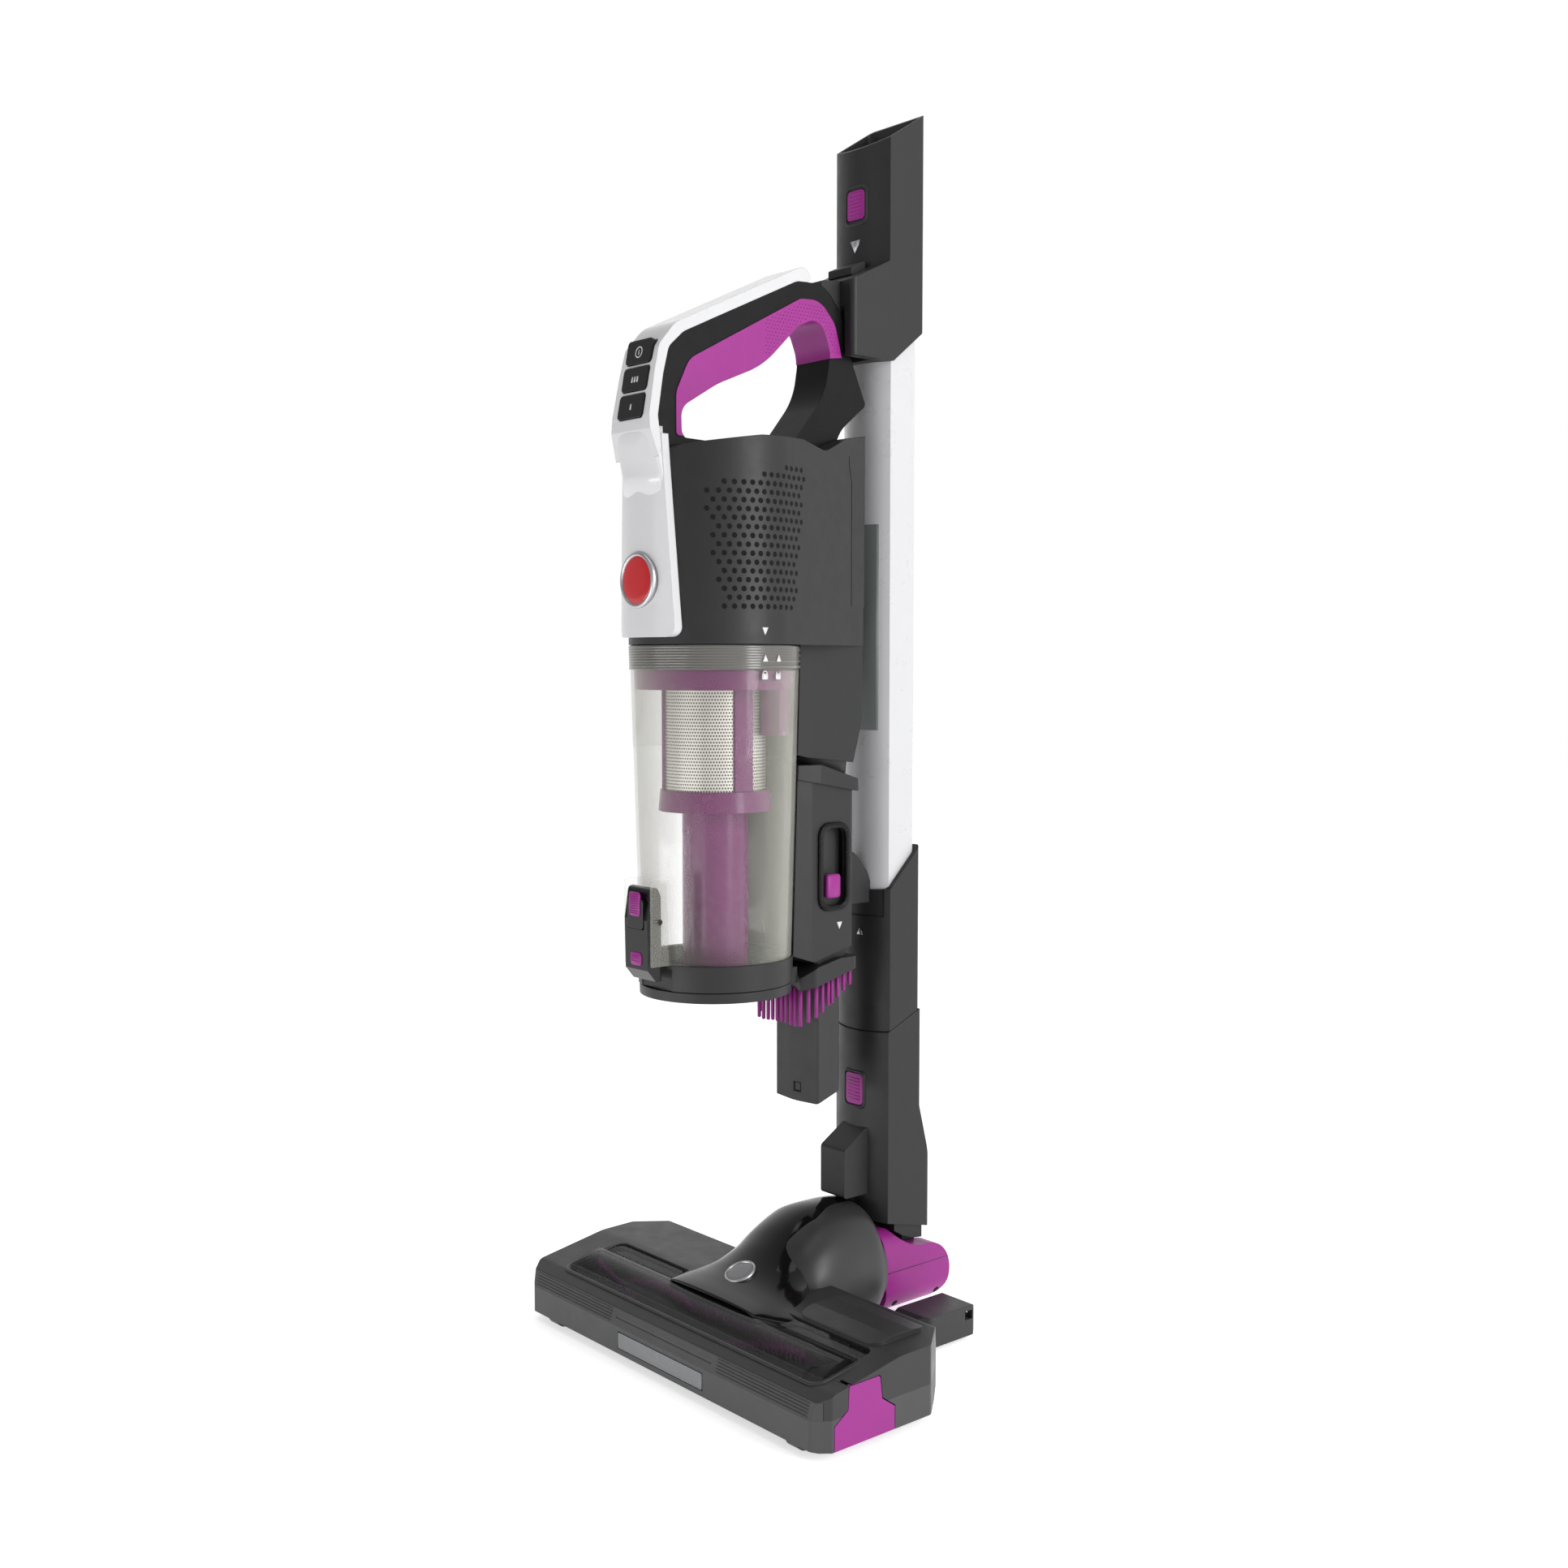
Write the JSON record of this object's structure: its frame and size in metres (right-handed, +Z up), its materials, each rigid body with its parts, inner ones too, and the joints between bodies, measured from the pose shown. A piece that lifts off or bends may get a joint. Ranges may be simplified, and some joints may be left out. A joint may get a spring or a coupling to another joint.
{
  "type": "cordless stick vacuum cleaner",
  "caption": "Upright stick vacuum: swivelling powered floorhead, slim wand tube, and a docked hand unit with looped handle, clear cyclone bin and sliding dusting brush.",
  "frame": {"origin": "middle of the footprint on the floor, under the dust bin's rear half", "axes": "+Z up along the wand; the floorhead's front and the handle's buttons face -Y; +X to the floorhead's latch end"},
  "size_m": [0.256, 0.213, 0.688],
  "materials": {
    "matte_black": "fine textured",
    "gloss_black": "polished",
    "purple_plastic": "satin",
    "white_gloss": "polished",
    "tube_alloy": "satin coated",
    "clear_plastic": "polished",
    "steel_mesh": "perforated",
    "bristle_purple": "stiff nylon",
    "black_rubber": "matte",
    "pin_steel": "machined",
    "motor_casing": "satin",
    "cell_wrap": "shrink wrapped",
    "filter_media": "pleated",
    "board_green": "solder resist",
    "light_lens": "frosted",
    "badge_silver": "satin",
    "wheel_grey": "satin"
  },
  "bodies": {
    "floorhead": {"head_base": "matte_black", "base_screws": "pin_steel", "sole_squeegee": "black_rubber", "light_lens": "light_lens", "light_board": "board_green", "head_top_cover": "matte_black", "bumper_strip": "matte_black", "brush_window": "clear_plastic", "brush_motor": "motor_casing", "drive_belt": "black_rubber", "rear_arm_right": "matte_black", "rear_arm_left": "matte_black", "pivot_housing": "matte_black", "dome_cover": "gloss_black", "dome_badge": "badge_silver"},
    "brush_roll": {"brush_core": "matte_black", "brush_bristles": "bristle_purple"},
    "motor_shaft": {"motor_pulley": "pin_steel"},
    "brush_latch": {"brush_release_latch": "purple_plastic"},
    "front_wheel_r": {"front_wheel_right": "wheel_grey"},
    "front_wheel_l": {"front_wheel_left": "wheel_grey"},
    "rear_wheel_r": {"rear_wheel_right": "wheel_grey"},
    "rear_wheel_l": {"rear_wheel_left": "wheel_grey"},
    "swivel": {"swivel_upper_shell": "purple_plastic", "swivel_lower_shell": "purple_plastic", "recline_pin": "pin_steel"},
    "neck": {"neck_shell": "matte_black"},
    "neck_release": {"neck_button": "purple_plastic"},
    "wand": {"lower_sleeve": "matte_black", "wand_tube": "tube_alloy", "top_sleeve": "matte_black", "dock_bracket": "matte_black"},
    "wand_release": {"wand_button": "purple_plastic"},
    "dock_release": {"dock_latch": "matte_black"},
    "hand_unit": {"body_shell": "matte_black", "battery_pack": "matte_black", "battery_cells": "cell_wrap", "suction_motor": "motor_casing", "exhaust_filter": "filter_media", "handle_grip": "purple_plastic", "handle_frame": "matte_black", "front_trim": "white_gloss", "control_board": "board_green", "trim_badge": "badge_silver", "duct_housing": "matte_black", "nozzle_tube": "matte_black"},
    "power_button": {"button_power": "gloss_black"},
    "boost_button": {"button_boost": "gloss_black"},
    "quiet_button": {"button_quiet": "gloss_black"},
    "fan": {"impeller": "wheel_grey"},
    "bin": {"bin_wall": "clear_plastic", "bin_base_ring": "matte_black", "cyclone_shroud": "purple_plastic", "mesh_screen": "steel_mesh", "motor_filter": "filter_media"},
    "flap": {"bin_flap": "matte_black"},
    "flap_latch": {"flap_lever": "gloss_black"},
    "dust_brush": {"dusting_tool": "matte_black", "dusting_bristles": "bristle_purple"},
    "slide_button": {"tool_button": "purple_plastic"}
  },
  "joints": [
    {"name": "brush_spin", "type": "hinge", "parent": "floorhead", "child": "brush_roll", "pos_m": [0, -0.0605, 0.02], "axis": [1, 0, 0], "continuous": true},
    {"name": "motor_spin", "type": "hinge", "parent": "floorhead", "child": "motor_shaft", "pos_m": [0, -0.0195, 0.024], "axis": [1, 0, 0], "continuous": true},
    {"name": "brush_latch_slide", "type": "slide", "parent": "floorhead", "child": "brush_latch", "axis": [1, 0, 0], "range_m": [0, 0.02]},
    {"name": "front_wheel_r_spin", "type": "hinge", "parent": "floorhead", "child": "front_wheel_r", "pos_m": [0.105, -0.0828, 0.006], "axis": [1, 0, 0], "continuous": true},
    {"name": "front_wheel_l_spin", "type": "hinge", "parent": "floorhead", "child": "front_wheel_l", "pos_m": [-0.105, -0.0828, 0.006], "axis": [1, 0, 0], "continuous": true},
    {"name": "rear_wheel_r_spin", "type": "hinge", "parent": "floorhead", "child": "rear_wheel_r", "pos_m": [0.054, 0.0771, 0.0079], "axis": [1, 0, 0], "continuous": true},
    {"name": "rear_wheel_l_spin", "type": "hinge", "parent": "floorhead", "child": "rear_wheel_l", "pos_m": [-0.054, 0.0771, 0.0079], "axis": [1, 0, 0], "continuous": true},
    {"name": "steer", "type": "hinge", "parent": "floorhead", "child": "swivel", "pos_m": [0, 0.0605, 0.032], "axis": [0, 1, 0], "range_deg": [-45, 45]},
    {"name": "recline", "type": "hinge", "parent": "swivel", "child": "neck", "pos_m": [0, 0.0885, 0.025], "axis": [-1, 0, 0], "range_deg": [0, 80]},
    {"name": "neck_release_press", "type": "slide", "parent": "neck", "child": "neck_release", "axis": [0, 1, 0], "range_m": [0, 0.002], "stiffness_N_per_m": 300},
    {"name": "wand_lift_off", "type": "slide", "parent": "neck", "child": "wand", "axis": [0, 0, 1], "range_m": [0, 0.06]},
    {"name": "wand_release_press", "type": "slide", "parent": "wand", "child": "wand_release", "axis": [0, 1, 0], "range_m": [0, 0.0015], "stiffness_N_per_m": 300},
    {"name": "dock_release_tip", "type": "hinge", "parent": "wand", "child": "dock_release", "pos_m": [0, 0.0435, 0.5955], "axis": [1, 0, 0], "range_deg": [0, 5], "stiffness_Nm_per_rad": 0.1},
    {"name": "hand_unit_lift_off", "type": "slide", "parent": "wand", "child": "hand_unit", "axis": [0, -0.866, 0.5], "range_m": [0, 0.12]},
    {"name": "power_press", "type": "slide", "parent": "hand_unit", "child": "power_button", "axis": [0, 0.9816, -0.1908], "range_m": [0, 0.0012], "stiffness_N_per_m": 300},
    {"name": "boost_press", "type": "slide", "parent": "hand_unit", "child": "boost_button", "axis": [0, 0.9816, -0.1908], "range_m": [0, 0.0012], "stiffness_N_per_m": 300},
    {"name": "quiet_press", "type": "slide", "parent": "hand_unit", "child": "quiet_button", "axis": [0, 0.9816, -0.1908], "range_m": [0, 0.0012], "stiffness_N_per_m": 300},
    {"name": "fan_spin", "type": "hinge", "parent": "hand_unit", "child": "fan", "pos_m": [0, -0.0515, 0.4], "axis": [0, 0, 1], "continuous": true},
    {"name": "bin_twist", "type": "hinge", "parent": "hand_unit", "child": "bin", "pos_m": [0, -0.0515, 0.3], "axis": [0, 0, 1], "range_deg": [0, 20]},
    {"name": "flap_hinge", "type": "hinge", "parent": "bin", "child": "flap", "pos_m": [0, -0.011, 0.21], "axis": [1, 0, 0], "range_deg": [0, 60]},
    {"name": "flap_latch_tip", "type": "hinge", "parent": "bin", "child": "flap_latch", "pos_m": [0, -0.0975, 0.249], "axis": [-1, 0, 0], "range_deg": [0, 7], "stiffness_Nm_per_rad": 0.1},
    {"name": "dust_brush_slide", "type": "slide", "parent": "hand_unit", "child": "dust_brush", "axis": [0, 0, -1], "range_m": [0, 0.048]},
    {"name": "slide_button_press", "type": "slide", "parent": "hand_unit", "child": "slide_button", "axis": [-1, 0, 0], "range_m": [0, 0.0007], "stiffness_N_per_m": 300}
  ],
  "couplings": [
    {"joint": "motor_spin", "follows": "brush_spin", "ratio": 1.5}
  ]
}
